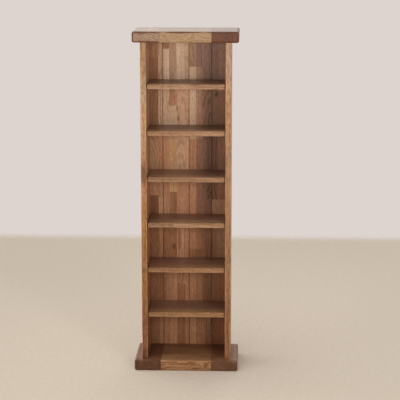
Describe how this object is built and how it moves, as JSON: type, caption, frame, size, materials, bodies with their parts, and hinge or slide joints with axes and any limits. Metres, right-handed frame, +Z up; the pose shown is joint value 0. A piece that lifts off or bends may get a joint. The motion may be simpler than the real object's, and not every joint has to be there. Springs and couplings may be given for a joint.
{
  "type": "cd dvd storage tower",
  "caption": "Tall narrow open oak tower with thick overhanging top and base planks, a boarded back and loose shelves on pins, for rows of disc cases.",
  "frame": {"origin": "on the floor under the middle of the base plank", "axes": "+Z up, -Y out of the open front, +X to the right of someone facing the front"},
  "size_m": [0.335, 0.195, 1.1],
  "materials": {
    "oak_plank": "satin lacquer",
    "dark_oak_plank": "satin lacquer",
    "oak_side": "satin lacquer",
    "oak_back": "satin lacquer",
    "oak_shelf": "satin lacquer",
    "beech_dowel": "bare",
    "pin_brass": "plated",
    "screw_steel": "zinc plated"
  },
  "bodies": {
    "carcass": {"top_left_block": "oak_plank", "top_middle_block": "oak_plank", "top_right_block": "dark_oak_plank", "base_left_block": "dark_oak_plank", "base_middle_block": "oak_plank", "base_right_block": "dark_oak_plank", "left_side": "oak_side", "right_side": "oak_side", "back_board_1": "oak_back", "back_board_2": "oak_back", "back_board_3": "oak_back", "back_board_4": "oak_back", "top_side_dowels": "beech_dowel", "base_side_dowels": "beech_dowel", "top_block_dowels": "beech_dowel", "base_block_dowels": "beech_dowel", "base_screws": "screw_steel", "back_screws": "screw_steel", "shelf_1_pins": "pin_brass", "shelf_2_pins": "pin_brass", "shelf_3_pins": "pin_brass", "shelf_4_pins": "pin_brass", "shelf_5_pins": "pin_brass", "shelf_6_pins": "pin_brass"},
    "shelf_1": {"shelf_1": "oak_shelf"},
    "shelf_2": {"shelf_2": "oak_shelf"},
    "shelf_3": {"shelf_3": "oak_shelf"},
    "shelf_4": {"shelf_4": "oak_shelf"},
    "shelf_5": {"shelf_5": "oak_shelf"},
    "shelf_6": {"shelf_6": "oak_shelf"}
  },
  "joints": [
    {"name": "shelf_1_slide", "type": "slide", "parent": "carcass", "child": "shelf_1", "axis": [0, -1, 0], "range_m": [0, 0.19]},
    {"name": "shelf_2_slide", "type": "slide", "parent": "carcass", "child": "shelf_2", "axis": [0, -1, 0], "range_m": [0, 0.19]},
    {"name": "shelf_3_slide", "type": "slide", "parent": "carcass", "child": "shelf_3", "axis": [0, -1, 0], "range_m": [0, 0.19]},
    {"name": "shelf_4_slide", "type": "slide", "parent": "carcass", "child": "shelf_4", "axis": [0, -1, 0], "range_m": [0, 0.19]},
    {"name": "shelf_5_slide", "type": "slide", "parent": "carcass", "child": "shelf_5", "axis": [0, -1, 0], "range_m": [0, 0.19]},
    {"name": "shelf_6_slide", "type": "slide", "parent": "carcass", "child": "shelf_6", "axis": [0, -1, 0], "range_m": [0, 0.19]}
  ]
}
